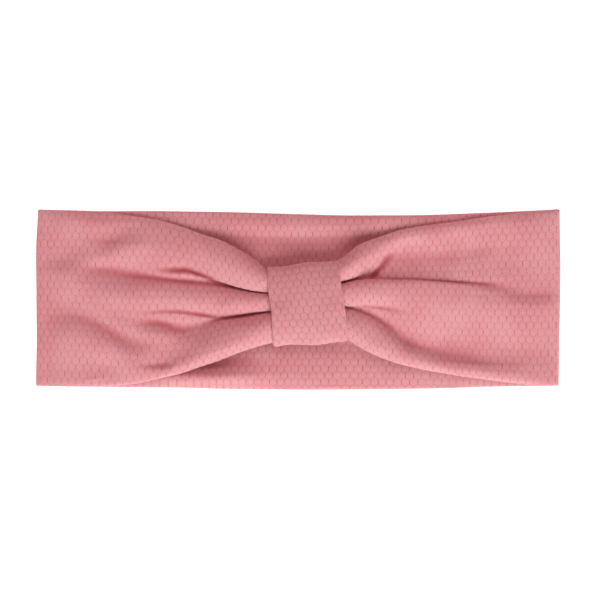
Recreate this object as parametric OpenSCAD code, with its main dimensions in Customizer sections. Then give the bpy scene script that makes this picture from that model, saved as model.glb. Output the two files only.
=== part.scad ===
// Sports headband: a ring of doubled stretch cloth, lying folded flat.
// A flat back panel and a gathered front panel meet at two side seams,
// and a small cloth loop gathers the middle of the front panel.
// X runs along the band, Y across its width, Z up from the surface it lies on.

/* [Band] */
// Length of the ring when it lies folded flat
flat_length = 240; // [210:1:270]
// Width of the cloth band
band_width = 81; // [70:1:100]
// Thickness of one layer of cloth
cloth = 0.7; // [0.5:0.05:0.8]
// Gap between the front and back panels when the band lies flat
panel_gap = 0.4; // [0.3:0.05:0.6]

/* [Gathers] */
// Height that the rolls of cloth rise beside the loop
roll_rise = 7.4; // [4:0.1:8]
// Half of the gathered width of the front panel where it enters the loop
gathered_half = 16.4; // [14:0.1:16.4]

/* [Loop] */
// Width of the loop along the band
loop_width = 32.5; // [26:0.5:34]
// Length of the loop across the band
loop_height = 37.5; // [37.5:0.5:42]
// Thickness of the loop with the gathered cloth inside it
loop_depth = 9.4; // [9.4:0.1:11]
// How far the loop sits off the middle of the band, along it
loop_shift_x = 3.8; // [0:0.1:4]
// How far the loop sits off the middle of the band, across it
loop_shift_y = -2.5; // [-3:0.1:0]
// How far the loop is turned
loop_turn = 5.3; // [0:0.1:6]
// Radius of the loop's bends
loop_bend = 2.5; // [2:0.1:3]

/* [Bends] */
// Distance from the middle to the lines where the open ring bends
bend_x = 40; // [40:1:44]
// Gap left at each bend line
bend_gap = 0.1; // [0.05:0.05:0.2]

/* [Stitching] */
// Diameter of the sewing thread
thread = 0.3; // [0.2:0.05:0.3]
// Distance from one stitch to the next
stitch_pitch = 3; // [2.5:0.1:4]

/* [Hidden] */

cloth_colour = [0.87, 0.52, 0.54];
loop_colour = [0.89, 0.55, 0.57];
thread_colour = [0.78, 0.42, 0.45];

end_x = flat_length / 2;
half_width = band_width / 2;
panel = 2 * cloth;
front_z = panel + panel_gap;
seam_z = panel + panel_gap / 2;

// A tube seam shows as a shallow groove that holds its stitches.
groove_half = 0.6;
groove_depth = 0.5;
stitch_length = 0.7 * stitch_pitch;

// The gathered cloth inside the loop.
loop_half = loop_width / 2;
strap_clearance = 0.2;
core_half_x = loop_half + 0.45;
core_low = front_z + panel + strap_clearance;
core_high = front_z + loop_depth - panel - strap_clearance;
shoulder = 3;

// Rolls of cloth across the front panel, as shares of its gathered width, from -Y to +Y.
roll_edges = [0, 0.44, 0.68, 1];
points_per_roll = 6;
roll_power = 0.7;
crease_share = 0.35;

curve_sides = 48;

function smooth(t) = let (c = min(1, max(0, t))) c * c * (3 - 2 * c);

// 1 in and beside the loop, falling to 0 at the bend lines.
function nearness(x) = 1 - smooth((abs(x - loop_shift_x) - core_half_x) / (bend_x - core_half_x - loop_shift_x));

// Distance from the loop towards a side seam, from 0 to 1.
function away(x) =
    min(1, max(0, (abs(x - loop_shift_x) - core_half_x) / (end_x - core_half_x - loop_shift_x)));

function inside_loop(x) = abs(x - loop_shift_x) <= core_half_x;

// 0 inside the loop, rising to 1 at the shoulder where the cloth swells out of it.
function swell(x) = smooth((abs(x - loop_shift_x) - core_half_x) / shoulder);

// Half of the front panel's width at x.
function spread(x) = gathered_half + (half_width - gathered_half) * (1 - pow(1 - away(x), 2.4));

// Turns a point with the loop, fully beside it and not at all at the bend lines.
function turned(x, y, z) =
    let (a = loop_turn * nearness(x), dx = x - loop_shift_x, mid = loop_shift_y * nearness(x))
    [loop_shift_x + dx * cos(a) - y * sin(a), mid + dx * sin(a) + y * cos(a) - dx * sin(a) * (1 - nearness(x)), z];

function roll_of(v) = v >= roll_edges[2] ? 2 : (v >= roll_edges[1] ? 1 : 0);

// Height of the rolls over the flat cloth, from crease_share in a crease to 1 on a crest.
function roll_shape(v) =
    let (
        i = roll_of(v),
        t = (v - roll_edges[i]) / (roll_edges[i + 1] - roll_edges[i]),
        at_rim = v <= 0 || v >= 1
    )
    at_rim ? 0 : crease_share + (1 - crease_share) * pow(max(0, sin(180 * t)), roll_power);

function cloth_low(x) = core_low + (front_z - core_low) * swell(x);

function cloth_high(x, v) =
    let (rise = roll_rise * pow(1 - away(x), 1.5) * roll_shape(v))
    core_high + (front_z + panel + rise - core_high) * swell(x);

// Shares of the width at which a cross-section has its points, the same count above and below.
upper_shares = [
    for (i = [0:2])
        for (k = [0:points_per_roll - 1])
            roll_edges[i] + (roll_edges[i + 1] - roll_edges[i]) * k / points_per_roll,
    1
];
top_count = len(upper_shares);
groove_first = 6;

function top_point(x, v) = turned(x, (2 * v - 1) * spread(x), cloth_high(x, v));

// The underside is flat but for the tube seam's groove, which takes four of its points.
function under_point(x, k) =
    let (
        low = cloth_low(x),
        groove = k - groove_first,
        across = groove < 0 ? -1 + (1 - groove_half / spread(x)) * k / groove_first
            : groove_half / spread(x)
                + (1 - groove_half / spread(x)) * (k - groove_first - 3) / (top_count - groove_first - 4)
    )
    groove < 0 || groove > 3 ? turned(x, across * spread(x), low)
    : turned(x, groove < 2 ? -groove_half : groove_half, low + (groove == 1 || groove == 2 ? groove_depth : 0));

// One closed cross-section of the gathered front panel: the rolls on top, the groove below.
function section(x) = concat(
    [for (v = upper_shares) top_point(x, v)],
    [for (k = [top_count - 1:-1:0]) under_point(x, k)]
);

// A closed skin through the cross-sections at the given places.
module gathered_cloth(stations) {
    rings = [for (x = stations) section(x)];
    sides = 2 * top_count;
    last = (len(rings) - 1) * sides;
    walls = [
        for (i = [0:len(rings) - 2])
            for (k = [0:sides - 1])
                let (a = i * sides + k, b = i * sides + (k + 1) % sides)
                each [[a, b, b + sides], [a, b + sides, a + sides]]
    ];
    caps = [
        for (k = [0:top_count - 2])
            let (across = sides - 1 - k)
            each [
                [k, across - 1, k + 1], [k, across, across - 1],
                [last + k, last + k + 1, last + across - 1], [last + k, last + across - 1, last + across]
            ]
    ];
    polyhedron(points = [for (ring = rings) each ring], faces = concat(walls, caps), convexity = 8);
}

function between(from, to, count) = [for (i = [0:count]) from + (to - from) * i / count];

// Evenly spaced places, with closer ones where the cloth swells out of the loop.
wing_steps = 9;
left_stations = between(-end_x, -bend_x - bend_gap / 2, wing_steps);
right_stations = between(bend_x + bend_gap / 2, end_x, wing_steps);
loop_start = loop_shift_x - core_half_x;
loop_end = loop_shift_x + core_half_x;
centre_stations = concat(
    between(-bend_x + bend_gap / 2, loop_start - shoulder, 4),
    [loop_start - shoulder / 2],
    between(loop_start, loop_end, 2),
    [loop_end + shoulder / 2],
    between(loop_end + shoulder, bend_x - bend_gap / 2, 3)
);

// A flat doubled panel with folded edges and its tube seam's groove, from one place along the band to another.
module flat_panel(from, to) {
    translate([from, 0, 0])
    rotate([90, 0, 90])
    linear_extrude(to - from)
    difference() {
        union() {
            translate([-half_width + cloth, 0])
            square([band_width - panel, panel]);
            for (side = [-1, 1])
                translate([side * (half_width - cloth), cloth])
                circle(r = cloth, $fn = curve_sides);
        }
        translate([-groove_half, panel - groove_depth])
        square([2 * groove_half, groove_depth + cloth]);
    }
}

module rounded_rectangle(width, height, radius) {
    square([width - 2 * radius, height], center = true);
    square([width, height - 2 * radius], center = true);
    for (x = [-1, 1], y = [-1, 1])
        translate([x * (width / 2 - radius), y * (height / 2 - radius)])
        circle(r = radius, $fn = curve_sides);
}

// Puts its children in the loop's own frame: X along the band, Y across it, Z up from the loop's underside.
module at_loop() {
    translate([loop_shift_x, loop_shift_y, front_z])
    rotate([0, 0, loop_turn])
    children();
}

module stitch_along_x(length = stitch_length) {
    rotate([0, 90, 0])
    cylinder(h = length, d = thread, center = true, $fn = 24);
}

module stitch_along_y(length = stitch_length) {
    rotate([90, 0, 0])
    cylinder(h = length, d = thread, center = true, $fn = 24);
}

// A row of stitches along X that stays inside its two ends.
module stitch_row(from, to, y, z) {
    count = floor((to - from) / stitch_pitch);
    first = (from + to) / 2 - (count - 1) / 2 * stitch_pitch;
    for (i = [0:count - 1])
        translate([first + i * stitch_pitch, y, z])
        stitch_along_x();
}

module back_seam_row(from, to) {
    stitch_row(from, to, 0, panel - groove_depth / 2);
}

module front_seam_row(from, to) {
    stitch_row(from, to, 0, front_z + groove_depth / 2);
}

module side_seam_row(x) {
    count = floor((band_width - panel) / stitch_pitch);
    for (i = [0:count - 1])
        translate([x, (i - (count - 1) / 2) * stitch_pitch, seam_z])
        stitch_along_y();
}

module back_panel_left() {
    color(cloth_colour)
    flat_panel(-end_x, -bend_x - bend_gap / 2);
}

module back_panel_centre() {
    color(cloth_colour)
    flat_panel(-bend_x + bend_gap / 2, bend_x - bend_gap / 2);
}

module back_panel_right() {
    color(cloth_colour)
    flat_panel(bend_x + bend_gap / 2, end_x);
}

module front_panel_left() {
    color(cloth_colour)
    gathered_cloth(left_stations);
}

module front_panel_centre() {
    color(cloth_colour)
    gathered_cloth(centre_stations);
}

module front_panel_right() {
    color(cloth_colour)
    gathered_cloth(right_stations);
}

module centre_loop() {
    color(loop_colour)
    at_loop()
    difference() {
        translate([-loop_half, 0, loop_depth / 2])
        rotate([90, 0, 90])
        linear_extrude(loop_width)
        difference() {
            rounded_rectangle(loop_height, loop_depth, loop_bend);
            rounded_rectangle(loop_height - 2 * panel, loop_depth - 2 * panel, loop_bend - panel);
        }
        // The groove where the strap's two ends meet, on the underside.
        translate([-loop_half - 1, -groove_half, -1])
        cube([loop_width + 2, 2 * groove_half, 1 + groove_depth]);
        // The groove of the strap's own tube seam, inside.
        translate([-groove_half, -loop_height / 2 + 3 * panel, loop_depth - panel - 1])
        cube([2 * groove_half, loop_height - 6 * panel, 1 + groove_depth]);
    }
}

// Four stitches that hold the loop's underside to the gathered cloth.
module loop_tack_stitches() {
    tack_x = 9;
    tack_y = 6;
    tack_rise = panel + 1;
    color(thread_colour)
    at_loop()
    for (x = [-tack_x, tack_x], y = [-tack_y, tack_y])
        translate([x, y, cloth / 2])
        cylinder(h = tack_rise, d = thread, $fn = 24);
}

module loop_closure_thread() {
    color(thread_colour)
    at_loop()
    stitch_row(-loop_half + 1, loop_half - 1, 0, groove_depth / 2);
}

module loop_tube_seam_thread() {
    run = loop_height - 8 * panel;
    count = floor(run / stitch_pitch);
    color(thread_colour)
    at_loop()
    for (i = [0:count - 1])
        translate([0, (i - (count - 1) / 2) * stitch_pitch, loop_depth - panel + groove_depth / 2])
        stitch_along_y();
}

module left_side_seam_thread() {
    color(thread_colour)
    side_seam_row(-end_x + thread);
}

module right_side_seam_thread() {
    color(thread_colour)
    side_seam_row(end_x - thread);
}

module back_seam_thread_left() {
    color(thread_colour)
    back_seam_row(-end_x + 1, -bend_x - 1);
}

module back_seam_thread_centre() {
    color(thread_colour)
    back_seam_row(-bend_x + 1, bend_x - 1);
}

module back_seam_thread_right() {
    color(thread_colour)
    back_seam_row(bend_x + 1, end_x - 1);
}

module front_seam_thread_left() {
    color(thread_colour)
    front_seam_row(-end_x + 1, -bend_x - 1);
}

// Stitches that follow the front tube seam where the gathers bend it.
module bent_seam_row(from, to) {
    count = floor((to - from) / stitch_pitch);
    first = (from + to) / 2 - (count - 1) / 2 * stitch_pitch;
    for (i = [0:count - 1]) {
        x = first + i * stitch_pitch;
        here = turned(x, 0, cloth_low(x) + groove_depth / 2);
        ahead = turned(x + 0.1, 0, 0);
        translate(here)
        rotate([0, 0, atan2(ahead[1] - here[1], ahead[0] - here[0])])
        stitch_along_x();
    }
}

module front_seam_thread_centre() {
    color(thread_colour) {
        bent_seam_row(-bend_x + 1, loop_start - shoulder - 0.5);
        bent_seam_row(loop_start + 1, loop_end - 1);
        bent_seam_row(loop_end + shoulder + 0.5, bend_x - 1);
    }
}

module front_seam_thread_right() {
    color(thread_colour)
    front_seam_row(bend_x + 1, end_x - 1);
}

back_panel_left();
back_panel_centre();
back_panel_right();
front_panel_left();
front_panel_centre();
front_panel_right();
centre_loop();
loop_tack_stitches();
loop_closure_thread();
loop_tube_seam_thread();
left_side_seam_thread();
right_side_seam_thread();
back_seam_thread_left();
back_seam_thread_centre();
back_seam_thread_right();
front_seam_thread_left();
front_seam_thread_centre();
front_seam_thread_right();
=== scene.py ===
"""Sports headband: a ring of doubled honeycomb knit, gathered at the front by a small loop."""

import bmesh
import bpy
import numpy as np
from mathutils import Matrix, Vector
from mathutils.bvhtree import BVHTree


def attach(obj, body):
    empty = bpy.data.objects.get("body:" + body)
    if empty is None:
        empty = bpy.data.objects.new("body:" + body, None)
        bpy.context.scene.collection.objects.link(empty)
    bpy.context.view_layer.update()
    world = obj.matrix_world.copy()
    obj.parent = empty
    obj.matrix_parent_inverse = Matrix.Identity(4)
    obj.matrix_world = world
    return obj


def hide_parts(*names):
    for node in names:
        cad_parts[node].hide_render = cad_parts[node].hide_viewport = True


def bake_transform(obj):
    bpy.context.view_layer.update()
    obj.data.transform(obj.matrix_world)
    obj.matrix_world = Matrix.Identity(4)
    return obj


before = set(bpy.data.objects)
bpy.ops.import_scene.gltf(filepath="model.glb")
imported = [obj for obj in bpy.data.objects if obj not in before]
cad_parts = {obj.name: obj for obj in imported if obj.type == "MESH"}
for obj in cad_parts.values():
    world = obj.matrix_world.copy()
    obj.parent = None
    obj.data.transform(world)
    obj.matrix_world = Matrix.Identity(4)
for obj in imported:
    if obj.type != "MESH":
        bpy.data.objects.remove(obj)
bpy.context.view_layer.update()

MM = 0.001
CLOTH = 1.4            # doubled cloth, mm
GRID = 0.6             # distance between mesh points, mm
CELL = 3.57            # honeycomb cell, mm from one upright side to the next
CELL_ROW = CELL * 3 ** 0.5 / 2
CELL_RELIEF = 0.13     # how far a cell stands proud, mm
END = 120.2            # where the side seams are, mm

# --------------------------------------------------------------------------------------------
# Shape helpers. Lengths are in mm until make_mesh().
# --------------------------------------------------------------------------------------------


def pchip(knots, values, where):
    """Values at knots, carried smoothly to where without overshoot."""
    knots, values = np.asarray(knots, float), np.asarray(values, float)
    flat = values.reshape(len(knots), -1)
    h = np.diff(knots)[:, None]
    d = np.diff(flat, axis=0) / h
    m = np.zeros_like(flat)
    m[0], m[-1] = d[0], d[-1]
    w1, w2 = 2 * h[1:] + h[:-1], h[1:] + 2 * h[:-1]
    same = d[:-1] * d[1:] > 0
    with np.errstate(divide="ignore", invalid="ignore"):
        mean = (w1 + w2) / (w1 / d[:-1] + w2 / d[1:])
    m[1:-1] = np.where(same, mean, 0)
    where = np.asarray(where, float)
    i = np.clip(np.searchsorted(knots, where, side="right") - 1, 0, len(knots) - 2)
    t = ((where - knots[i]) / h[i, 0])[:, None]
    out = (
        (2 * t**3 - 3 * t**2 + 1) * flat[i]
        + (t**3 - 2 * t**2 + t) * h[i] * m[i]
        + (3 * t**2 - 2 * t**3) * flat[i + 1]
        + (t**3 - t**2) * h[i] * m[i + 1]
    )
    return out.reshape((len(where),) + values.shape[1:])


def blur(grid, sigma, axis):
    """Gaussian blur along one axis that keeps the two end slices where they are."""
    if sigma <= 0:
        return grid
    reach = int(3 * sigma + 1)
    kernel = np.exp(-0.5 * (np.arange(-reach, reach + 1) / sigma) ** 2)
    kernel /= kernel.sum()
    g = np.moveaxis(grid, axis, 0)
    n = len(g)
    reach = min(reach, n - 1)
    kernel = kernel[len(kernel) // 2 - reach: len(kernel) // 2 + reach + 1]
    kernel = kernel / kernel.sum()
    front = 2 * g[:1] - g[1: reach + 1][::-1]
    back = 2 * g[-1:] - g[-reach - 1: -1][::-1]
    padded = np.concatenate([front, g, back])
    out = sum(k * padded[j: j + n] for j, k in enumerate(kernel))
    return np.moveaxis(out, 0, axis)


def across_sections(control, spacing):
    """Smooth curves through each row of control points, all cut into the same number of steps."""
    gaps = np.linalg.norm(np.diff(control, axis=1), axis=2)
    h = np.sqrt(np.maximum(gaps, 1e-3))[:, :, None]
    d = np.diff(control, axis=1) / h
    m = np.empty_like(control)
    m[:, 0], m[:, -1] = d[:, 0], d[:, -1]
    m[:, 1:-1] = (d[:, :-1] * h[:, 1:] + d[:, 1:] * h[:, :-1]) / (h[:, 1:] + h[:, :-1])
    pieces = []
    for k in range(control.shape[1] - 1):
        steps = max(2, int(np.ceil(gaps[:, k].max() / spacing)))
        t = (np.arange(steps) / steps)[None, :, None]
        a, b, hk = control[:, k, None], control[:, k + 1, None], h[:, k, None]
        ma, mb = m[:, k, None] * hk, m[:, k + 1, None] * hk
        pieces.append(
            (2 * t**3 - 3 * t**2 + 1) * a + (t**3 - 2 * t**2 + t) * ma
            + (3 * t**2 - 2 * t**3) * b + (t**3 - t**2) * mb
        )
    pieces.append(control[:, -1:])
    return np.concatenate(pieces, axis=1)


def waves(p, seed, longest, shortest, count=10):
    """Smooth seeded unevenness, about -1 to 1, at points p (..., 2)."""
    rng = np.random.default_rng(seed)
    total = 0
    for length in np.geomspace(longest, shortest, count):
        turn, shift = rng.uniform(0, 2 * np.pi, 2)
        k = 2 * np.pi / length * np.array([np.cos(turn), np.sin(turn)])
        total = total + np.sin(p @ k + shift) * (length / longest) ** 0.5
    return total / count**0.5


def honeycomb(u, v):
    """Distance from the nearest cell's rim, as a share of half a cell: 1 in its middle, 0 on its rim."""
    best = None
    for du, dv in ((0, 0), (CELL / 2, CELL_ROW)):
        x = (u + du) % CELL - CELL / 2
        y = (v + dv) % (2 * CELL_ROW) - CELL_ROW
        rim = 1 - np.maximum(abs(x), abs(x) / 2 + abs(y) * 3**0.5 / 2) / (CELL / 2)
        best = rim if best is None else np.maximum(best, rim)
    return best


def normals(grid):
    a, b = np.gradient(grid, axis=0), np.gradient(grid, axis=1)
    n = np.cross(a, b)
    return n / np.maximum(np.linalg.norm(n, axis=2, keepdims=True), 1e-9)


def bumps(x, y, folds):
    """Soft ridges, or furrows where tall is negative, along given lines of (x, y, tall, half width)."""
    total = np.zeros_like(x)
    for line in folds:
        line = np.array(line, float)
        best = np.full(x.shape, np.inf)
        value = np.zeros_like(x)
        for (x0, y0, h0, w0), (x1, y1, h1, w1) in zip(line[:-1], line[1:]):
            dx, dy = x1 - x0, y1 - y0
            t = np.clip(((x - x0) * dx + (y - y0) * dy) / (dx * dx + dy * dy), 0, 1)
            away = np.hypot(x - x0 - t * dx, y - y0 - t * dy)
            here = (h0 + t * (h1 - h0)) * np.exp(-((away / (w0 + t * (w1 - w0))) ** 2))
            value = np.where(away < best, here, value)
            best = np.minimum(best, away)
        total += value
    return total


def crease_shade_mask(height, across, along, full):
    """How deep each point lies between its neighbours, from 0 to 1 at a depth of full (mm); this sets the
    painted shade in the creases.
    """
    deep = blur(blur(height, across, 1), along, 0) - height
    from_edge = np.minimum(np.arange(height.shape[1]), np.arange(height.shape[1])[::-1]) * GRID
    return blur(np.clip(deep / full, 0, 1), 1, 1) * np.clip(from_edge / 4 - 1, 0, 1)


def make_mesh(name, outer, inner, uv, round_start=False, round_end=False, turned=False, rim=3,
              crease_shade=None):
    """A closed piece of doubled cloth between two grids (mm), rounded along its two sides and at the ends
    that ask for it. turned swaps the cloth's two directions. rim is the number of points round a side, and
    is odd. The last argument is how deep in a crease each point lies, from 0 to 1, and sets the painted shade
    there."""
    nv = outer.shape[1]
    middle = (outer + inner) / 2

    def side(edge, inside):
        up = outer[:, edge] - middle[:, edge]
        out = middle[:, edge] - middle[:, inside]
        out *= (np.linalg.norm(up, axis=1) / np.linalg.norm(out, axis=1))[:, None]
        turns = np.pi * np.arange(1, rim + 1) / (rim + 1)
        return np.stack([middle[:, edge] + up * np.cos(a) + out * np.sin(a) for a in turns], axis=1)

    def around(near, far):
        first, last = np.repeat(near[:, :1], rim, 1), np.repeat(near[:, -1:], rim, 1)
        return np.concatenate([near, last, far[:, ::-1], first], 1)

    rings = np.concatenate([outer, side(-1, -2), inner[:, ::-1], side(0, 1)[:, ::-1]], axis=1)
    centre = around(middle, middle)
    ring_u, ring_v = around(uv[..., 0], uv[..., 0]), around(uv[..., 1], 2 * uv[:, -1:, 1] - uv[..., 1])
    turn = CLOTH * np.pi / 2 * np.arange(1, rim + 1) / (rim + 1)
    half_turn = CLOTH * np.pi / 2
    ring_v[:, nv: nv + rim] += turn
    ring_v[:, nv + rim:] += half_turn
    ring_v[:, -rim:] = 2 * uv[:, -1:, 1] - uv[:, :1, 1] + half_turn + turn
    wrap_v = 2 * uv[:, -1, 1] - uv[:, 0, 1] + 2 * half_turn
    rows = [np.arange(len(rings))]
    parts = [rings]
    turns = np.pi / 2 * np.arange(1, rim + 2) / (rim + 1.2)
    for wanted, row, inward in ((round_start, 0, 1), (round_end, -1, -2)):
        if not wanted:
            continue
        out = centre[row] - centre[inward]
        out *= CLOTH / 2 / np.linalg.norm(out, axis=1)[:, None]
        cap = [centre[row] + (rings[row] - centre[row]) * np.cos(a) + out * np.sin(a) for a in turns]
        where = np.full(len(cap), 0 if row == 0 else len(rings) - 1)
        parts = [np.stack(cap[::-1])] + parts if row == 0 else parts + [np.stack(cap)]
        rows = [where] + rows if row == 0 else rows + [where]
    rings, rows = np.concatenate(parts), np.concatenate(rows)
    ring_u, ring_v, wrap_v = ring_u[rows], ring_v[rows], wrap_v[rows]
    crease_shade = np.zeros(outer.shape[:2]) if crease_shade is None else crease_shade
    crease_shade = around(crease_shade, crease_shade)[rows]

    count, points = rings.shape[:2]
    index = np.arange(count * points).reshape(count, points)
    after = np.roll(index, -1, axis=1)
    u_after, v_after = np.roll(ring_u, -1, axis=1), np.roll(ring_v, -1, axis=1)
    v_after[:, -1] = wrap_v
    faces = np.stack([index[:-1], index[1:], after[1:], after[:-1]], -1).reshape(-1, 4).tolist()
    corner_uv = [np.stack([
        np.stack([ring_u[:-1], ring_v[:-1]], -1), np.stack([ring_u[1:], ring_v[1:]], -1),
        np.stack([u_after[1:], v_after[1:]], -1), np.stack([u_after[:-1], v_after[:-1]], -1),
    ], axis=2).reshape(-1, 2)]
    smooth = [True] * len(faces)
    start, stop = points - 1 - rim // 2, nv + rim // 2
    forward = np.concatenate([np.arange(start, points), np.arange(stop + 1)])
    backward = np.arange(start, stop - 1, -1)
    for row, flipped, is_round in ((0, True, round_start), (count - 1, False, round_end)):
        for k in range(len(forward) - 1):
            face = [forward[k], forward[k + 1], backward[k + 1], backward[k]]
            if k == 0:
                face = face[:3]
            elif k == len(forward) - 2:
                face = [face[0], face[1], face[3]]
            face = face[::-1] if flipped else face
            faces.append([int(index[row, f]) for f in face])
            corner_uv.append(np.array([[ring_u[row, forward[k]], ring_v[row, forward[k]]]] * len(face)))
            smooth.append(is_round)
    mesh = bpy.data.meshes.new(name)
    mesh.from_pydata((rings.reshape(-1, 3) * MM).tolist(), [], faces)
    mesh.polygons.foreach_set("use_smooth", smooth)
    # How deep each point lies in a crease, kept on the mesh for the painted crease shade.
    crease_shade_depths = mesh.attributes.new("CreaseShade", "FLOAT", "POINT")
    crease_shade_depths.data.foreach_set("value", crease_shade.ravel().astype(np.float32))
    layer = mesh.uv_layers.new(name="Cloth")
    corner_uv = np.concatenate(corner_uv).astype(np.float32)
    layer.data.foreach_set("uv", (corner_uv[:, ::-1] if turned else corner_uv).ravel())
    shape = bmesh.new()
    shape.from_mesh(mesh)
    bmesh.ops.recalc_face_normals(shape, faces=shape.faces)
    for edge in shape.edges:
        edge.smooth = len({face.smooth for face in edge.link_faces}) == 1
    shape.to_mesh(mesh)
    shape.free()
    piece = bpy.data.objects.new(name, mesh)
    bpy.context.scene.collection.objects.link(piece)
    return piece


def stretched(x):
    """Distance along the cloth as cut: it is stretched a little more in some places than in others."""
    return x + 0.9 * np.sin(x / 15 + 1) + 0.4 * np.sin(x / 6.1)


def cloth_uv(grid, along, flat_width):
    """Flat-cloth coordinates in mm: along the band, and the distance across it as the cloth was cut."""
    along = stretched(along)
    steps = np.linalg.norm(np.diff(grid, axis=1), axis=2)
    run = np.concatenate([np.zeros((len(grid), 1)), np.cumsum(steps, axis=1)], axis=1)
    v = (run / run[:, -1:] - 0.5) * flat_width
    return np.stack([np.broadcast_to(along[:, None], v.shape), v], axis=-1)


def relieved(grid, uv):
    """Raises each honeycomb cell a little out of the cloth."""
    cell = honeycomb(uv[..., 0], uv[..., 1])
    pillow = 1 - (1 - np.clip(cell * 1.15, 0, 1)) ** 2
    n = normals(grid)
    return grid + n * ((pillow - 0.6) * CELL_RELIEF)[..., None]
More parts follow.
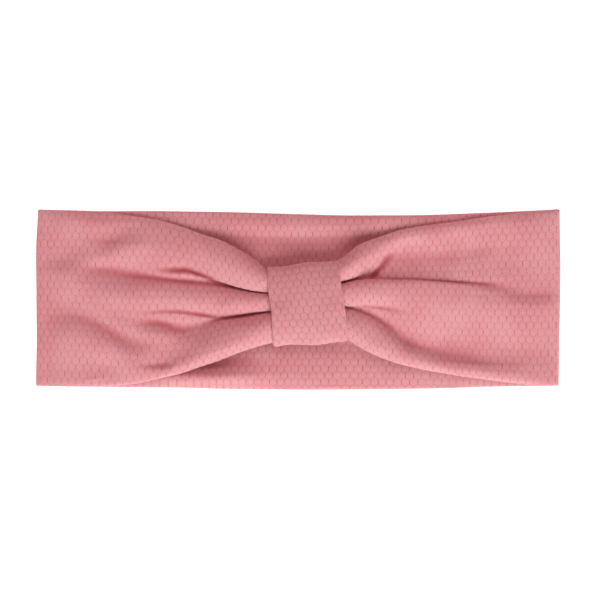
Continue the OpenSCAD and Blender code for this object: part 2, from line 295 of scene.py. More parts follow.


# --------------------------------------------------------------------------------------------
# The gathered front panel: given sections across it, each from its -Y edge to its +Y edge
# as (y, z) in mm. Each has the same 24 points, so point 3 is always the lower roll's crest.
# --------------------------------------------------------------------------------------------
LEFT = {
    4: [
        (-15, 3.3), (-19.5, 5.8), (-18.5, 8.0), (-15, 8.9), (-12, 8.9), (-9, 8.6),
        (-6.8, 7.9), (-6, 6.5), (-5.9, 6.6), (-5.6, 7.8), (-4.5, 8.6), (-1.8, 9.0),
        (.3, 8.8), (1.6, 8.2), (2.2, 6.6), (2.3, 6.6), (2.6, 7.8), (3.8, 8.7),
        (7, 9.0), (9.5, 8.8), (11.8, 8.1), (13, 7.2), (13.6, 5.8), (10, 3.3),
    ],
    -5: [
        (-15, 3.3), (-19.5, 5.8), (-18.5, 8.1), (-15, 9.1), (-12, 9.1), (-9, 8.8),
        (-6.8, 8.0), (-6, 6.4), (-5.9, 6.4), (-5.6, 7.8), (-4.5, 8.8), (-1.8, 9.2),
        (.3, 9.0), (1.6, 8.2), (2.2, 6.4), (2.3, 6.4), (2.6, 7.8), (3.8, 8.8),
        (7, 9.2), (9.5, 9.0), (11.8, 8.2), (13, 7.2), (13.6, 5.8), (10, 3.3),
    ],
    -13: [
        (-15, 2.6), (-20.6, 5.2), (-19.6, 8), (-15.5, 9.9), (-12, 9.8), (-9, 8.8),
        (-6.9, 7.2), (-6, 5), (-5.9, 5), (-5.6, 6.8), (-4.4, 8.5), (-1.6, 9.3),
        (.6, 8.7), (1.9, 7), (2.4, 4.8), (2.5, 4.8), (2.8, 7.2), (4.2, 9.4),
        (7, 10.4), (9.2, 10), (11, 8.5), (11.8, 7), (12.1, 5.2), (9, 2.6),
    ],
    -19: [
        (-16, 2.2), (-22.2, 5), (-21.4, 8), (-17.5, 10.4), (-13.5, 10.3), (-10.3, 8.8),
        (-8, 6.6), (-6.9, 4.4), (-6.6, 4.4), (-6.2, 6.4), (-4.8, 8.4), (-2, 9.4),
        (.6, 8.8), (2.4, 6.8), (3.1, 4.4), (3.3, 4.4), (3.3, 7.2), (5, 9.8),
        (9, 11.2), (12.5, 10.4), (15.5, 8.2), (16.8, 6.4), (17.3, 4.6), (13, 2.2),
    ],
    -27: [
        (-19, 1.9), (-24.7, 4.8), (-24, 7.6), (-20.5, 10.2), (-16.5, 10.2), (-12.5, 8.8),
        (-9.4, 6.2), (-8.4, 3.8), (-7.7, 3.8), (-7.2, 5.8), (-5.4, 8.1), (-2.2, 9.2),
        (1, 8.4), (3.6, 6.2), (4.9, 3.8), (5.3, 3.8), (4.9, 6.6), (7.4, 9.8),
        (12.5, 11.2), (16.5, 10.6), (20, 8.9), (21.7, 6.8), (22.2, 4.4), (17.5, 1.9),
    ],
    -36: [
        (-23, 1.8), (-28.3, 4.5), (-27.6, 7.2), (-24.3, 9.6), (-20, 9.5), (-15.2, 8.2),
        (-11, 5.6), (-9.8, 3.7), (-8.6, 3.9), (-8, 5.2), (-5.8, 7.2), (-2.6, 8.6),
        (1.4, 8), (4.6, 5.9), (6.6, 3.8), (7.8, 4), (7.8, 6.2), (11, 9),
        (16.5, 10.6), (21, 10), (24.6, 8.3), (26.4, 6.3), (26.9, 4.1), (22.5, 1.8),
    ],
    -45: [
        (-26.5, 1.8), (-31.3, 4.2), (-30.6, 6.8), (-27.5, 8.8), (-23, 8.4), (-17.8, 6.6),
        (-14, 4.7), (-11.8, 4), (-9.6, 4.9), (-7.4, 5.2), (-5.6, 6.6), (-1.8, 8.3),
        (2.4, 7.8), (5.6, 6), (7.3, 4.3), (8.6, 4.6), (10.6, 5.9), (14.2, 8),
        (19.5, 9.7), (24.2, 9.1), (27.6, 7.5), (29.4, 5.8), (29.9, 3.9), (25.5, 1.8),
    ],
    -54: [
        (-30, 1.8), (-34.7, 3.9), (-34, 6.2), (-31, 7.8), (-26, 7.2), (-20.5, 6.3),
        (-17.4, 5), (-14.3, 3.4), (-10.4, 4.7), (-8, 5.2), (-5.4, 6.2), (-1.2, 7.7),
        (3, 7.2), (6.4, 5.5), (8.2, 4.1), (9.8, 4.9), (12.4, 5.7), (16, 7.6),
        (21.5, 8.9), (27, 8.2), (30.8, 6.9), (32.7, 5.3), (33.3, 3.6), (29, 1.8),
    ],
    -64: [
        (-33, 1.8), (-37, 3.5), (-36.4, 5.4), (-33.8, 6.4), (-29.5, 5), (-22.5, 5.6),
        (-16.6, 6.2), (-11, 3.8), (-8.6, 4.8), (-6.8, 5.4), (-4, 6.3), (-.5, 7.3),
        (3.8, 6.8), (7.4, 5.2), (9.4, 4), (11.6, 5), (14, 5.6), (17.6, 7.1),
        (23, 8.2), (29, 7.4), (33.3, 6.2), (35.3, 4.9), (36, 3.4), (32, 1.8),
    ],
    -76: [
        (-36.5, 1.8), (-39.4, 3), (-38.7, 4.6), (-33.5, 6.2), (-27, 5.9), (-21.5, 4),
        (-14.5, 5.2), (-10.5, 4.9), (-8, 5.4), (-6, 5.8), (-3.5, 6.5), (0, 7.2),
        (4.6, 6.6), (8.4, 5), (11, 4), (13.5, 4.8), (16, 5.6), (19.5, 6.8),
        (24, 7.4), (28.5, 6), (32.5, 5.2), (35.5, 4.6), (37.9, 3.2), (35, 1.8),
    ],
    -90: [
        (-39, 1.8), (-40.7, 2.7), (-39.8, 3.9), (-33, 4.8), (-20.5, 6.5), (-12.8, 3.6),
        (-9, 4.2), (-6, 5), (-4, 5.5), (-2, 5.9), (0, 6.2), (3, 6.3),
        (7, 5.6), (10, 4.6), (13, 3.9), (15, 4.5), (17, 5.3), (19.5, 5.7),
        (22.5, 5.2), (26.5, 4.3), (30, 4.7), (34.5, 5.2), (39.9, 2.9), (38.5, 1.8),
    ],
    -105: [
        (-39.8, 1.8), (-40.6, 2.5), (-39.6, 3.5), (-34, 3.9), (-17, 5.4), (-8, 3.4),
        (-4.5, 3.3), (-2, 3.6), (0, 4.1), (2, 4.6), (4.5, 5), (7.5, 5.3),
        (9, 5.3), (11, 5.2), (13, 4.8), (15.5, 4), (18, 3.5), (20.5, 3.3),
        (23, 3.4), (27.5, 3.9), (32, 4.6), (37, 4.5), (40.7, 2.7), (39.8, 1.8),
    ],
    -120.2: [
        (-40, 1.8), (-40.4, 2.3), (-39.8, 2.9), (-34, 3), (-19, 3.1), (-10, 3),
        (-6.5, 2.9), (-4, 2.9), (-2, 2.9), (0, 2.95), (2.5, 3), (5.5, 3),
        (8, 3), (10.5, 3), (12.5, 2.95), (14.5, 2.9), (17, 2.9), (19.5, 2.9),
        (22, 2.95), (27, 3), (32, 3), (37, 2.9), (41, 2.3), (40.6, 1.8),
    ],
}
RIGHT = {
    4.5: [
        (-14, 3.3), (-18.5, 5.8), (-17.5, 8.0), (-14, 8.9), (-10.5, 8.9), (-7.5, 8.6),
        (-5.3, 7.8), (-4.4, 6.4), (-4.3, 6.4), (-4, 7.6), (-2.8, 8.6), (.5, 9),
        (3.5, 8.8), (5.2, 8.1), (6, 6.7), (6, 6.4), (6.2, 6.6), (6.4, 7.5),
        (7.5, 8.5), (10, 8.9), (12.5, 8.3), (14, 7.2), (14.6, 5.8), (11, 3.3),
    ],
    12: [
        (-14, 3.3), (-18, 5.8), (-17, 8.1), (-13.5, 9.1), (-10, 9.1), (-7, 8.7),
        (-4.9, 7.9), (-4, 6.4), (-3.9, 6.4), (-3.6, 7.7), (-2.4, 8.8), (1, 9.2),
        (4, 9), (5.8, 8.2), (6.6, 6.7), (6.6, 6.3), (6.8, 6.5), (7, 7.5),
        (8, 8.6), (10.5, 9.1), (13, 8.4), (14.6, 7.3), (15.2, 5.8), (11.5, 3.3),
    ],
    20.5: [
        (-13, 2.6), (-18.2, 4.8), (-17.4, 7.1), (-13.8, 9), (-10.6, 9.3), (-7.8, 8.7),
        (-5.2, 7), (-3.9, 4.8), (-3.7, 4.8), (-3.4, 6.8), (-2, 8.6), (1.2, 9.7),
        (4.4, 9.3), (6.4, 8), (7.2, 6.2), (7.1, 4.8), (7.5, 4.8), (7.9, 6.6),
        (9.4, 8.8), (12.6, 10.1), (15.6, 9.3), (18, 7.2), (18.9, 5.2), (14.5, 2.6),
    ],
    27: [
        (-17, 2.1), (-22.2, 4.9), (-21.4, 7.5), (-18, 9.5), (-14.2, 9.8), (-10.2, 8.6),
        (-7, 6.6), (-5.2, 4.4), (-4.4, 4.3), (-3.9, 5.8), (-2.2, 7.8), (1.6, 9.2),
        (5.2, 8.8), (7.8, 7.4), (8.6, 5.8), (8.3, 4.4), (9.2, 4.2), (9.8, 5.6),
        (11.8, 8.4), (15.8, 10.4), (19.8, 9.8), (22.9, 7.8), (24.2, 5), (19.5, 2.1),
    ],
    34: [
        (-20.5, 1.9), (-25.7, 4.7), (-24.9, 7.4), (-21.2, 9.5), (-17, 9.3), (-12.8, 8.2),
        (-9.6, 6.2), (-7.9, 4.2), (-5.6, 4.5), (-4.5, 5.6), (-2.8, 7.2), (1.4, 8.9),
        (5.4, 8.6), (7.8, 7.6), (8.9, 6.1), (8.8, 4.1), (12, 3.7), (15, 5.2),
        (17.2, 7.5), (20.2, 9.2), (23.6, 8.6), (26.3, 6.8), (27.3, 4.4), (23, 1.9),
    ],
    42: [
        (-24, 1.8), (-28.7, 4.4), (-28, 6.9), (-24.6, 8.7), (-20.8, 8.6), (-17.6, 7.2),
        (-15, 5.2), (-12.8, 4), (-9, 5), (-5.8, 5.9), (-3.2, 6.9), (1.2, 8.4),
        (5, 8.4), (7.4, 7.8), (8.6, 7), (8.8, 5.4), (9.7, 5.2), (14, 3.7),
        (18.4, 3.6), (22.6, 6.4), (26.2, 7.2), (28.9, 6), (30.2, 4), (26, 1.8),
    ],
    50: [
        (-27, 1.8), (-30.9, 4.1), (-30.2, 6.4), (-27.4, 7.8), (-24.6, 7.2), (-22.2, 5.5),
        (-20.2, 4), (-17.2, 4), (-12, 5.2), (-6.6, 6.4), (-3.4, 7.2), (1, 8),
        (4.9, 8), (7.4, 7.5), (8.6, 6.8), (8.8, 5.4), (9.7, 5.3), (14, 3.9),
        (19, 3.1), (24, 4.7), (27.8, 6.5), (30.8, 5.7), (32.1, 3.8), (28.5, 1.8),
    ],
    60: [
        (-30, 1.8), (-33.4, 3.8), (-32.7, 5.8), (-30.4, 7), (-27.6, 6.3), (-25.2, 4.7),
        (-23.2, 3.6), (-20, 3.8), (-14, 5.2), (-8, 6.4), (-4, 7.2), (.5, 7.6),
        (4.4, 7.4), (6.8, 7), (8, 6.5), (8.2, 5), (9.2, 5), (13.4, 3.9),
        (18.4, 3.1), (24, 4.6), (29.4, 6.1), (32.6, 5.3), (33.8, 3.6), (30.5, 1.8),
    ],
    72: [
        (-33, 1.8), (-35.5, 3.4), (-34.8, 5.2), (-32.5, 6.3), (-29.8, 5.7), (-27.4, 4.1),
        (-25.2, 3.3), (-22, 3.5), (-15, 5), (-9, 6.2), (-5, 6.8), (-.5, 7),
        (3.3, 6.7), (5.7, 6.4), (7, 5.9), (7.4, 4.3), (9, 4.5), (14, 3.9),
        (19.5, 3.1), (26, 4.2), (31.6, 5.6), (34.5, 4.8), (35.4, 3.3), (32.8, 1.8),
    ],
    86: [
        (-35.5, 1.8), (-37.4, 3), (-36.7, 4.6), (-34.4, 5.6), (-31.6, 5), (-29.2, 3.6),
        (-26.8, 3.1), (-23.5, 3.3), (-17, 4.5), (-11, 5.6), (-6.5, 6.2), (-1.8, 6.4),
        (1.2, 6), (3.6, 5.6), (5.2, 4.9), (6.8, 3.8), (9.5, 4), (15, 3.5),
        (21.5, 3.4), (28.5, 4.9), (34, 5.4), (36.7, 4.4), (37.5, 3), (35.4, 1.8),
    ],
    100: [
        (-37.8, 1.8), (-39.1, 2.7), (-38.3, 4), (-35.8, 4.8), (-32.6, 4.3), (-29.4, 3.4),
        (-27, 3.1), (-24.5, 3.1), (-18, 4), (-12.5, 4.9), (-8.5, 5.4), (-4.6, 5.6),
        (-2, 5.3), (.6, 4.3), (2.4, 3.8), (4.6, 3.6), (9, 3.5), (15.5, 3.3),
        (22.5, 3.9), (29.5, 5), (35, 5.2), (38.2, 4), (39.1, 2.8), (37.6, 1.8),
    ],
    112: [
        (-39, 1.8), (-40.2, 2.5), (-39.3, 3.5), (-36.5, 4), (-33, 3.7), (-29.5, 3.2),
        (-27, 2.9), (-24.5, 2.9), (-18.5, 3.6), (-13, 4.3), (-9.4, 4.7), (-6, 4.9),
        (-3.2, 4.7), (-.6, 3.8), (1.6, 3.1), (4, 3), (8.5, 3), (15.5, 3.4),
        (22.5, 4.2), (29.5, 4.8), (35.5, 4.7), (39.5, 3.5), (40.7, 2.5), (39.4, 1.8),
    ],
    119.6: [
        (-39.8, 1.8), (-40.3, 2.3), (-39.6, 2.9), (-36.5, 3.1), (-33, 3.1), (-29.5, 3),
        (-27, 2.95), (-24.5, 2.95), (-18.5, 3.1), (-13, 3.2), (-9, 3.2), (-5.5, 3.2),
        (-2, 3.1), (.5, 3), (2.2, 3), (4, 3), (8.5, 3.05), (15.5, 3.1),
        (22.5, 3.15), (29.5, 3.15), (35.5, 3.1), (40.3, 2.8), (41.2, 2.3), (40.6, 1.8),
    ],
}
FLAT_WIDTH = 82.0      # the panel's width as cut and folded, before gathering, mm
INSIDE_Z = 1.75        # the front panel's inside stays above this, mm
UNEVEN = 0.2           # small seeded unevenness of the gathered cloth, mm
BACK_UNEVEN = 0.12     # and of the back panel, mm
# Small creases and ridges on the wings, as lines of (x, y, height, half width).
WING_FOLDS = [
    [(-36, 7.6, 0, 1.2), (-44, 9, .3, 1.3), (-50, 10.7, .6, 1.5), (-57, 11.2, .5, 1.7),
     (-66, 12, 0, 2)],
    [(-36, 8, 0, .7), (-40, 9.2, -1.5, 1), (-46, 11.6, -2, 1.2), (-51.5, 13.4, -1.8, 1.4),
     (-57, 13.2, -1.2, 1.6), (-67, 13, 0, 1.5)],
    [(-36, -8.4, 0, .7), (-40, -8.2, -.7, .8), (-45, -7.1, -1, .9), (-55, -5.9, -.9, 1),
     (-63, -5.8, -.6, 1.1), (-75, -7, 0, 1.3)],
    [(-74, -29.9, 0, 1.2), (-68, -30.6, -.5, 1.4), (-62, -30.4, -.45, 1.4), (-56, -29.6, 0, 1.4)],
    [(-99, -36.6, 0, .8), (-95, -37.2, .5, .8), (-91, -36.8, .4, .8), (-88, -36, 0, .8)],
    [(-30, 1.5, 0, 2), (-36, -1, -.5, 2.4), (-41, -4, 0, 2.4)],
    [(25, -3.6, 0, .7), (30, -3.6, -.8, .9), (37.5, -4.2, -.9, 1.1), (45, -5.3, -.5, 1.4),
     (54, -6.4, 0, 1.8)],
    [(32, 9.2, 0, 1.2), (35, 11, -1.4, 1.6), (38.5, 15, -1.4, 1.8), (42, 19.6, -.7, 2), (46, 24, 0, 2)],
]


def slanted_ends(x, y):
    """The two ends aren't quite straight: the left leans out below its upper corner, and the right leans in
    at its lower one."""
    near_end = np.clip((abs(x) - 90) / 30, 0, 1) ** 2
    left = 0.6 * np.clip((y - 24) / 16, 0, 1) ** 1.5 - 0.15 * np.sin(y / 9)
    right = -0.9 * np.clip((-y - 8) / 32, 0, 1) + 0.15 * np.sin(y / 8)
    return x + near_end * np.where(x < 0, left, right)


def front_wing(name, sections, seed):
    stations = sorted(sections)
    control = np.array([sections[x] for x in stations], float)
    first, last = stations[0], stations[-1]
    x = np.linspace(first, last, int((last - first) / GRID) + 1)
    yz = across_sections(pchip(stations, control, x), GRID)
    yz = blur(blur(yz, 2.5, 0), 0.9, 1)
    grid = np.concatenate([np.broadcast_to(x[:, None, None], yz.shape[:2] + (1,)), yz], axis=2)
    uv = cloth_uv(grid, x, FLAT_WIDTH)
    settled = np.clip((END - abs(grid[..., 0])) / 30, 0, 1)
    uneven = waves(uv, seed, 60, 9) * UNEVEN * settled
    plateau = 0.35 * np.clip((abs(grid[..., 0]) - 115.5) / 1.2, 0, 1)      # the side seam's doubled edge
    grid[..., 0] = slanted_ends(grid[..., 0], grid[..., 1])
    grid = grid + normals(grid) * uneven[..., None]
    raised = bumps(grid[..., 0], grid[..., 1], WING_FOLDS) + plateau
    grid[..., 2] += raised * np.clip(grid[..., 2] / 2 - 1, 0, 1)
    inner = grid - blur(blur(normals(grid), 3, 0), 3, 1) * CLOTH
    inner[..., 2] = np.maximum(inner[..., 2], INSIDE_Z)
    outer = relieved(grid, uv)
    # The crease depth sets how much painted shade each point gets.
    crease_shade = crease_shade_mask(grid[..., 2], 5, 3, 0.75)
    return make_mesh(name, outer, inner, uv, round_start=first < 0, round_end=last > 0.9 * END, crease_shade=crease_shade)


front_left = front_wing("front_cloth_left", LEFT, 3)
front_right = front_wing("front_cloth_right", RIGHT, 5)

# --------------------------------------------------------------------------------------------
# The flat back panel, in two halves that meet at the middle.
# --------------------------------------------------------------------------------------------
# Its two long edges seen from above, as (x, y).
BACK_TOP = [(-120.2, 41.2), (-108, 40.5), (-60, 40.3), (-20, 39.6), (0, 39), (30, 38.4), (56, 38.6),
            (93, 39.9), (120.2, 41.2)]
BACK_BOTTOM = [(-120.2, -40.5), (-90, -40.9), (-60, -41.2), (-38, -41.9), (0, -42.1), (40, -42), (63, -41.6),
               (90, -40.8), (120.2, -40.4)]
SEAM_FURROW = 0.25     # depth of the furrow along the tube seam, mm
BACK_FOLDS = [
    # The lower edge stands up as a soft rim, highest on the left, and the upper edge swells a little.
    [(-110, -37.5, 0, 4), (-75, -37.5, 1.2, 5), (-56, -37.8, 3.1, 5), (-40, -37.8, 4.6, 5.2),
     (-24, -37, 3.7, 6), (-6, -36, 2.2, 8), (22, -36, 1.3, 8), (50, -36.5, 1, 7), (90, -37, .5, 6),
     (118, -37, 0, 4)],
    [(-52, -28, 0, 5), (-34, -29.5, .3, 5), (-18, -26, .9, 5), (0, -27, .6, 5), (20, -30, .3, 6),
     (50, -34, 0, 5)],
    [(-118, 36, 0, 4), (-60, 35.5, 1.2, 5), (0, 34, 2, 6), (50, 35, 1.6, 5), (118, 37, 0, 4)],
]


def back_half(name, sign, seed):
    x = np.sort(np.linspace(0, END, int(END / GRID) + 1) * sign)
    across = np.linspace(-1, 1, int(82 / GRID) + 1)
    top = pchip(*np.array(BACK_TOP).T, x)[:, None]
    bottom = pchip(*np.array(BACK_BOTTOM).T, x)[:, None]
    y = (top + bottom) / 2 + (top - bottom) / 2 * across[None, :]
    xs = np.broadcast_to(x[:, None], y.shape)
    low = np.zeros_like(y)
    high = CLOTH + bumps(xs, y, BACK_FOLDS) - SEAM_FURROW * np.exp(-((y / 0.7) ** 2))
    y = y - np.sign(y) * high / 2 * abs(across) ** 8
    xs = slanted_ends(xs, y)
    grid = np.stack([xs, y, high], axis=-1)
    uv = np.stack([stretched(xs) + 1.1, y + 1.3], axis=-1)
    calm = np.clip((END - abs(xs)) / 30, 0, 1)
    grid[..., 2] += (waves(uv, seed, 70, 14) + .6) * BACK_UNEVEN * calm
    inner = np.stack([xs, y, low], axis=-1)
    outer = relieved(grid, uv)
    # The crease depth sets how much painted shade each point gets.
    crease_shade = crease_shade_mask(high, 7, 7, 0.6)
    return make_mesh(name, outer, inner, uv, round_start=sign < 0, round_end=sign > 0, crease_shade=crease_shade)


back_left = back_half("back_cloth_left", -1, 11)
back_right = back_half("back_cloth_right", 1, 11)

# --------------------------------------------------------------------------------------------
# The stitches of the two tube seams, on the inside of the ring.
# --------------------------------------------------------------------------------------------
STITCH = 2.2           # a stitch's length, mm
STITCH_STEP = 2.9      # from one stitch to the next, mm
STITCH_WIDTH = 0.5     # mm
SEAM_END = 118.3       # where the tube seams stop, short of the side seams, mm
SIDES = 8              # points round a stitch


def seam_stitches(name, cloth, first, last, side):
    """A row of stitches along y = 0 on a cloth's upper face (side 1) or lower face (side -1)."""
    corners = [v.co for v in cloth.data.vertices]
    tree = BVHTree.FromPolygons(corners, [p.vertices[:] for p in cloth.data.polygons])
    along = np.array([0, .1, .3, .5, .7, .9, 1])
    sunk = np.array([.4, .16, .02, 0, .02, .16, .4])
    thick = np.array([.6, .9, 1, 1, 1, .9, .6]) * STITCH_WIDTH / 2
    turns = 2 * np.pi * np.arange(SIDES) / SIDES
    points, faces = [], []
    for x0 in np.arange(first, last - STITCH, STITCH_STEP):
        xs = x0 + along * STITCH
        hits = [tree.ray_cast((x * MM, 0, side * 30 * MM), (0, 0, -side))[0] for x in xs]
        if None in hits:
            continue
        z = np.polyval(np.polyfit(xs, [hit.z / MM for hit in hits], 1), xs) - side * sunk
        base = len(points)
        for x, middle, radius in zip(xs, z, thick):
            points += [(x * MM, radius * np.cos(a) * MM, (middle + radius * np.sin(a)) * MM) for a in turns]
        for r in range(len(xs) - 1):
            for k in range(SIDES):
                a, b = base + SIDES * r + k, base + SIDES * r + (k + 1) % SIDES
                faces.append((a, a + SIDES, b + SIDES, b))
        end = base + SIDES * len(xs) - 1
        faces += [tuple(base + k for k in range(SIDES)), tuple(end - k for k in range(SIDES))]
    mesh = bpy.data.meshes.new(name)
    mesh.from_pydata(points, [], faces)
    mesh.polygons.foreach_set("use_smooth", [len(face) == 4 for face in faces])
    shape = bmesh.new()
    shape.from_mesh(mesh)
    bmesh.ops.recalc_face_normals(shape, faces=shape.faces)
    shape.to_mesh(mesh)
    shape.free()
    row = bpy.data.objects.new(name, mesh)
    bpy.context.scene.collection.objects.link(row)
    return row


back_stitches_left = seam_stitches("back_stitches_left", back_left, -SEAM_END, -0.3, 1)
back_stitches_right = seam_stitches("back_stitches_right", back_right, 0.3, SEAM_END, 1)
front_stitches_left = seam_stitches("front_stitches_left", front_left, -SEAM_END, -17, -1)
front_stitches_right = seam_stitches("front_stitches_right", front_right, 25, SEAM_END, -1)

# --------------------------------------------------------------------------------------------
# The loop: a strap of the same cloth round the gathers.
# --------------------------------------------------------------------------------------------
# Its four corners seen from above: lower left, lower right, upper left, upper right.
LOOP_CORNERS = np.array([[-10.6, -22.1], [22, -20.2], [-13.9, 14.4], [17.8, 17.8]])
LOOP_HALF = 18.65      # half the loop's extent across the band, mm
LOOP_WIDTH = 32.5      # along the band, mm
LOOP_GRID = GRID * .8
# The strap's outer face round the gathers, as (across, z), from the closing seam underneath towards +Y.
LOOP_PATH = [(.75, 1.75), (6, 1.75), (12, 1.8), (16, 2.5), (18.3, 4.4), (18.6, 6.4), (17.4, 8.6),
             (14.5, 10.3), (10, 11.5), (5, 12.1), (0, 12.2), (-5, 12), (-10, 11.2), (-14.5, 9.8),
             (-17.4, 8), (-18.6, 5.8), (-18.2, 4), (-16, 2.4), (-12, 1.8), (-6, 1.75), (-.75, 1.75)]


def loop_strap(name):
    path = across_sections(np.array([LOOP_PATH], float), LOOP_GRID)[0]
    run = np.concatenate([[0], np.cumsum(np.linalg.norm(np.diff(path, axis=0), axis=1))])
    tangent = np.gradient(path, run, axis=0)
    tangent[0] = tangent[-1] = (1, 0)
    normal = np.stack([-tangent[:, 1], tangent[:, 0]], axis=1)
    side = np.linspace(-1, 1, int(LOOP_WIDTH / GRID / .8) + 1)
    s, r = np.meshgrid(side, run)
    uv = np.stack([r, s * LOOP_WIDTH / 2], axis=-1)

    def placed(offset):
        across = (path[:, 0] + normal[:, 0] * offset)[:, None] / LOOP_HALF
        z = (path[:, 1] + normal[:, 1] * offset)[:, None]
        across, z, along = np.broadcast_arrays(across, z, side[None, :])
        a, b = (along + 1) / 2, (across + 1) / 2
        lower_left, lower_right, upper_left, upper_right = LOOP_CORNERS
        low = lower_left + (lower_right - lower_left) * a[..., None]
        up = upper_left + (upper_right - upper_left) * a[..., None]
        flat = low + (up - low) * b[..., None]
        flat[..., 0] += 0.3 * along * np.sin(across * 5 + 2 * along + 1)
        flat[..., 1] += 0.4 * (across - 0.1) * np.sin(along * 4.5 + 1)
        dimples = waves(np.stack([a * LOOP_WIDTH, b * 2 * LOOP_HALF], axis=-1), 8, 26, 9) * 0.18 * (z > 8)
        return np.concatenate([flat, (z + dimples)[..., None]], axis=-1)

    outer = relieved(placed(0), uv[..., ::-1])
    return make_mesh(name, outer, placed(CLOTH), uv, round_start=True, round_end=True, turned=True)


loop = loop_strap("loop_cloth")

# --------------------------------------------------------------------------------------------
# Materials
# --------------------------------------------------------------------------------------------


class Nodes:
    """A material's node tree, with short calls for what repeats."""

    def __init__(self, name):
        self.material = bpy.data.materials.new(name)
        self.material.use_nodes = True
        self.tree = self.material.node_tree
        self.tree.nodes.clear()

    def add(self, kind, inputs=None, **settings):
        node = self.tree.nodes.new(kind)
        for key, value in settings.items():
            setattr(node, key, value)
        for key, value in (inputs or {}).items():
            self.feed(node.inputs[key], value)
        return node

    def feed(self, socket, value):
        if isinstance(value, bpy.types.NodeSocket):
            self.tree.links.new(value, socket)
        else:
            socket.default_value = value

    def math(self, operation, *values, clamp=False):
        node = self.add("ShaderNodeMath", operation=operation, use_clamp=clamp)
        for socket, value in zip(node.inputs, values):
            self.feed(socket, value)
        return node.outputs[0]

    def ramp(self, value, low, high, at_low=0.0, at_high=1.0):
        node = self.add("ShaderNodeMapRange", interpolation_type="SMOOTHSTEP")
        for socket, part in zip(node.inputs, (value, low, high, at_low, at_high)):
            self.feed(socket, part)
        return node.outputs[0]

    def mix(self, factor, a, b):
        node = self.add("ShaderNodeMix", data_type="RGBA")
        for index, value in ((0, factor), (6, a), (7, b)):
            self.feed(node.inputs[index], value)
        return node.outputs[2]

    def noise(self, vector, scale, detail=2.0):
        return self.add("ShaderNodeTexNoise", {"Vector": vector, "Scale": scale, "Detail": detail}).outputs[0]


def cell_lines(n, u, v):
    """How near a point is to the cell's upright sides, its slanting sides and its middle, from 0 to 1."""
    found = []
    for du, dv in ((0.0, 0.0), (CELL / 2, CELL_ROW)):
        x = n.math("SUBTRACT", n.math("FLOORED_MODULO", n.math("ADD", u, du), CELL), CELL / 2)
        y = n.math("SUBTRACT", n.math("FLOORED_MODULO", n.math("ADD", v, dv), 2 * CELL_ROW), CELL_ROW)
        x, y = n.math("ABSOLUTE", x), n.math("ABSOLUTE", y)
        slant = n.math("ADD", n.math("MULTIPLY", x, 0.5), n.math("MULTIPLY", y, 3**0.5 / 2))
        found.append((x, slant, n.math("MAXIMUM", x, slant)))
    (x0, s0, e0), (x1, s1, e1) = found
    second = n.math("LESS_THAN", e1, e0)
    first = n.math("SUBTRACT", 1.0, second)
    x = n.math("ADD", n.math("MULTIPLY", x0, first), n.math("MULTIPLY", x1, second))
    s = n.math("ADD", n.math("MULTIPLY", s0, first), n.math("MULTIPLY", s1, second))
    upright = n.ramp(x, CELL / 2 - 0.27, CELL / 2 - 0.06)
    slanting = n.ramp(s, CELL / 2 - 0.36, CELL / 2 - 0.06)
    middle = n.ramp(n.math("MAXIMUM", x, s), 0.3, CELL / 2 - 0.1, 1.0, 0.0)
    return upright, slanting, middle


WALE, COURSE = 0.52, 0.45      # the knit's own stitches, mm


def knit(name, colour, line_colour, pale_and_highlight_colour, crease_shade_colour):
    """Honeycomb knit: short dark cell sides, fine stitches, grain, a painted highlight on each cell's middle,
    and painted shade in the creases.
    """
    n = Nodes(name)
    uv = n.add("ShaderNodeUVMap", uv_map="Cloth").outputs[0]
    parts = n.add("ShaderNodeSeparateXYZ", {"Vector": uv})
    u, v = parts.outputs[0], parts.outputs[1]
    drift = n.noise(uv, 0.35, 3.0)
    u = n.math("ADD", u, n.math("MULTIPLY", n.math("SUBTRACT", drift, 0.5), 0.5))
    upright, slanting, middle = cell_lines(n, u, v)
    patchy = n.ramp(n.noise(uv, 0.6, 2.0), 0.35, 0.65, 0.35, 1.0)
    lines = n.math("MAXIMUM", n.math("MULTIPLY", upright, patchy), n.math("MULTIPLY", slanting, 0.2))
    cloudy = n.noise(uv, 0.045, 3.0)
    grain = n.noise(uv, 2.2, 3.0)
    wales = n.math("SINE", n.math("MULTIPLY", u, 2 * 3.14159 / WALE))
    courses = n.math("SINE", n.math("MULTIPLY", v, 2 * 3.14159 / COURSE))
    stitches = n.math("MULTIPLY", wales, courses)
    base = n.mix(n.ramp(cloudy, 0.3, 0.7), colour, pale_and_highlight_colour)
    # Painted highlight: each raised cell's middle is painted paler, as if its top caught the light.
    base = n.mix(n.math("MULTIPLY", middle, 0.35), base, pale_and_highlight_colour)
    # Painted shade: the deeper a point lies in a crease, the darker and redder it is painted.
    crease_shade = n.add("ShaderNodeAttribute", attribute_name="CreaseShade").outputs["Fac"]
    base = n.mix(n.math("MULTIPLY", crease_shade, 0.85), base, crease_shade_colour)
    base = n.mix(n.ramp(grain, 0.3, 0.7, 0.0, 0.34), base, line_colour)
    base = n.mix(n.math("MULTIPLY", lines, 0.95), base, line_colour)
    height = n.math("ADD", n.math("MULTIPLY", lines, -1.0), n.math("MULTIPLY", stitches, 0.05))
    height = n.math("ADD", height, n.math("MULTIPLY", grain, 0.25))
    bump = n.add("ShaderNodeBump", {"Strength": 0.55, "Distance": 0.00022, "Height": height}).outputs[0]
    rough = n.ramp(grain, 0.3, 0.7, 0.78, 0.92)
    shader = n.add("ShaderNodeBsdfPrincipled", {
        "Base Color": base, "Roughness": rough, "Normal": bump,
        "Subsurface Weight": 0.35, "Subsurface Radius": (1.0, 0.22, 0.22), "Subsurface Scale": 0.002,
        "Sheen Weight": 0.3, "Sheen Roughness": 0.55, "Sheen Tint": (1.0, 0.84, 0.84, 1.0),
        "Specular IOR Level": 0.3,
    })
    out = n.add("ShaderNodeOutputMaterial")
    n.tree.links.new(shader.outputs[0], out.inputs[0])
    return n.material


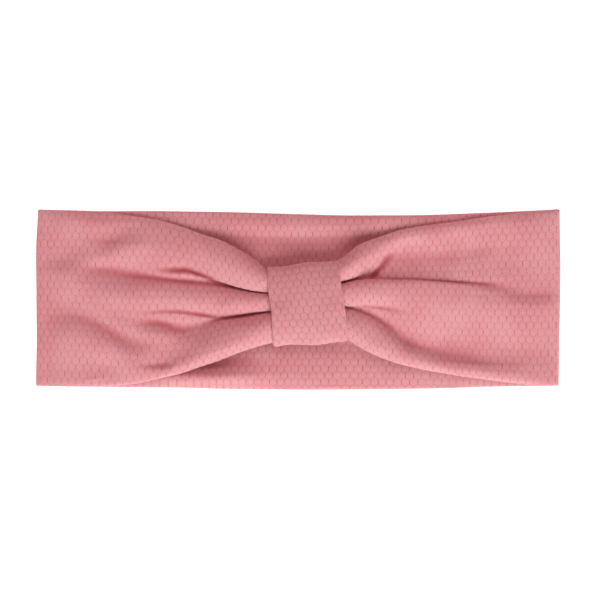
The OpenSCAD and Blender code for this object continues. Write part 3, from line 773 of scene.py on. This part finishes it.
def thread(name, colour, dark):
    n = Nodes(name)
    place = n.add("ShaderNodeTexCoord").outputs["Object"]
    waves_in = {"Vector": place, "Scale": 900.0, "Distortion": 1.5}
    strands = n.add("ShaderNodeTexWave", waves_in, bands_direction="DIAGONAL").outputs[1]
    base = n.mix(n.ramp(strands, 0.2, 0.8), dark, colour)
    bump = n.add("ShaderNodeBump", {"Strength": 0.5, "Distance": 0.00006, "Height": strands}).outputs[0]
    shader = n.add("ShaderNodeBsdfPrincipled", {
        "Base Color": base, "Roughness": n.ramp(strands, 0.0, 1.0, 0.65, 0.45), "Normal": bump,
        "Sheen Weight": 0.2,
    })
    out = n.add("ShaderNodeOutputMaterial")
    n.tree.links.new(shader.outputs[0], out.inputs[0])
    return n.material


# Each knit's last colour is the painted crease shade; its third is for paler patches and the painted
# highlight on each cell's middle.
BAND_KNIT = knit(
    "honeycomb_knit", (0.65, 0.268, 0.284, 1), (0.38, 0.108, 0.122, 1),
    (0.70, 0.335, 0.35, 1), (0.38, 0.028, 0.038, 1))
# Painted shade: the loop is the same cloth as the band, but its copy of the knit is painted a little darker
# to tone down the light on its high, upturned top.
LOOP_KNIT_SHADED = knit(
    "loop_knit", (0.61, 0.255, 0.270, 1), (0.36, 0.108, 0.122, 1),
    (0.66, 0.315, 0.33, 1), (0.38, 0.028, 0.038, 1))
THREAD = thread("sewing_thread", (0.66, 0.22, 0.24, 1), (0.40, 0.10, 0.12, 1))

for piece in (front_left, front_right, back_left, back_right):
    piece.data.materials.append(BAND_KNIT)
loop.data.materials.append(LOOP_KNIT_SHADED)
for row in (back_stitches_left, back_stitches_right, front_stitches_left, front_stitches_right):
    row.data.materials.append(THREAD)
for node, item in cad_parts.items():
    if "thread" in node or "stitches" in node:
        for slot in item.material_slots:
            slot.material = THREAD

# -------------------------------------------------------------------------------------------- The loop rides the front_centre body; the cloth pieces and their stitches are only baked in place
# What moves with what
# --------------------------------------------------------------------------------------------
for cloth, row, middle_body, end_body, near, far in (
    (front_left, front_stitches_left, "front_centre", "front_left", -16, -76),
    (front_right, front_stitches_right, "front_centre", "front_right", 24, 74),
    (back_left, back_stitches_left, "back_centre", "back_left", -16, -78),
    (back_right, back_stitches_right, "back_centre", "back_right", 16, 78),
):
    for piece in (cloth, row):
        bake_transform(piece)
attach(loop, "front_centre")

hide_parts("front_panel_left", "front_panel_centre")
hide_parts("front_panel_right")
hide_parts("back_panel_left", "back_panel_centre")
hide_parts("back_panel_right")
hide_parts("centre_loop")
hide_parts("back_seam_thread_left", "back_seam_thread_centre")
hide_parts("back_seam_thread_right")
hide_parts("front_seam_thread_left", "front_seam_thread_centre")
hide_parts("front_seam_thread_right")

# --------------------------------------------------------------------------------------------
# Floor, light and camera
# --------------------------------------------------------------------------------------------
FLOOR_Z = -1.3 * MM     # 1.3 mm below the back panel's underside
ROOM = 4                # how far the floor and the wall reach, m
floor_mesh = bpy.data.meshes.new("floor")
floor_corners = [(x, y, FLOOR_Z) for x, y in ((-ROOM, -ROOM), (ROOM, -ROOM), (ROOM, ROOM), (-ROOM, ROOM))]
floor_mesh.from_pydata(floor_corners, [], [(0, 1, 2, 3)])
floor = bpy.data.objects.new("floor", floor_mesh)
bpy.context.scene.collection.objects.link(floor)
paper = Nodes("pale_floor")
paper_shader = paper.add("ShaderNodeBsdfPrincipled", {
    "Base Color": (0.5, 0.5, 0.5, 1), "Roughness": 0.9, "Emission Color": (1, 1, 1, 1),
    "Emission Strength": 0.95,
})
paper.tree.links.new(paper_shader.outputs[0], paper.add("ShaderNodeOutputMaterial").inputs[0])
floor.data.materials.append(paper.material)

# A white wall all round, which only the camera sees.
wall_mesh = bpy.data.meshes.new("wall")
shape = bmesh.new()
bmesh.ops.create_uvsphere(shape, u_segments=48, v_segments=24, radius=ROOM)
shape.to_mesh(wall_mesh)
shape.free()
wall = bpy.data.objects.new("wall", wall_mesh)
bpy.context.scene.collection.objects.link(wall)
plain = Nodes("white_wall")
plain.tree.links.new(
    plain.add("ShaderNodeEmission", {"Color": (1, 1, 1, 1), "Strength": 1.0}).outputs[0],
    plain.add("ShaderNodeOutputMaterial").inputs[0])
wall.data.materials.append(plain.material)
wall.visible_diffuse = wall.visible_glossy = wall.visible_transmission = wall.visible_shadow = False


def area_light(name, place, aim, size, watts, colour=(1, 1, 1)):
    data = bpy.data.lights.new(name, "AREA")
    data.shape, data.size, data.energy, data.color = "DISK", size, watts, colour
    light = bpy.data.objects.new(name, data)
    light.location = place
    light.rotation_euler = (Vector(place) - Vector(aim)).to_track_quat("Z", "Y").to_euler()
    bpy.context.scene.collection.objects.link(light)
    return light


area_light("key", (0.35, -1.15, 0.9), (0, 0, 0), 1.1, 30, (0.95, 1, 1))
area_light("fill", (-0.2, 1.1, 1.1), (0, 0, 0), 1.4, 12.5, (1, 0.64, 0.67))
world = bpy.data.worlds.new("studio")
world.use_nodes = True
world.node_tree.nodes["Background"].inputs[0].default_value = (1, 0.88, 0.89, 1)
world.node_tree.nodes["Background"].inputs[1].default_value = 0.2
bpy.context.scene.world = world
bpy.context.scene.view_settings.view_transform = "Standard"

lens = bpy.data.cameras.new("camera")
lens.lens, lens.sensor_width = 115, 36
WIDTH_SEEN = 276.4 * MM         # what the frame takes in at the height of the cloth
SEEN_Z = 3 * MM
camera = bpy.data.objects.new("camera", lens)
camera.location = (0.7 * MM, -0.7 * MM, WIDTH_SEEN * lens.lens / lens.sensor_width + SEEN_Z)
bpy.context.scene.collection.objects.link(camera)
bpy.context.scene.camera = camera
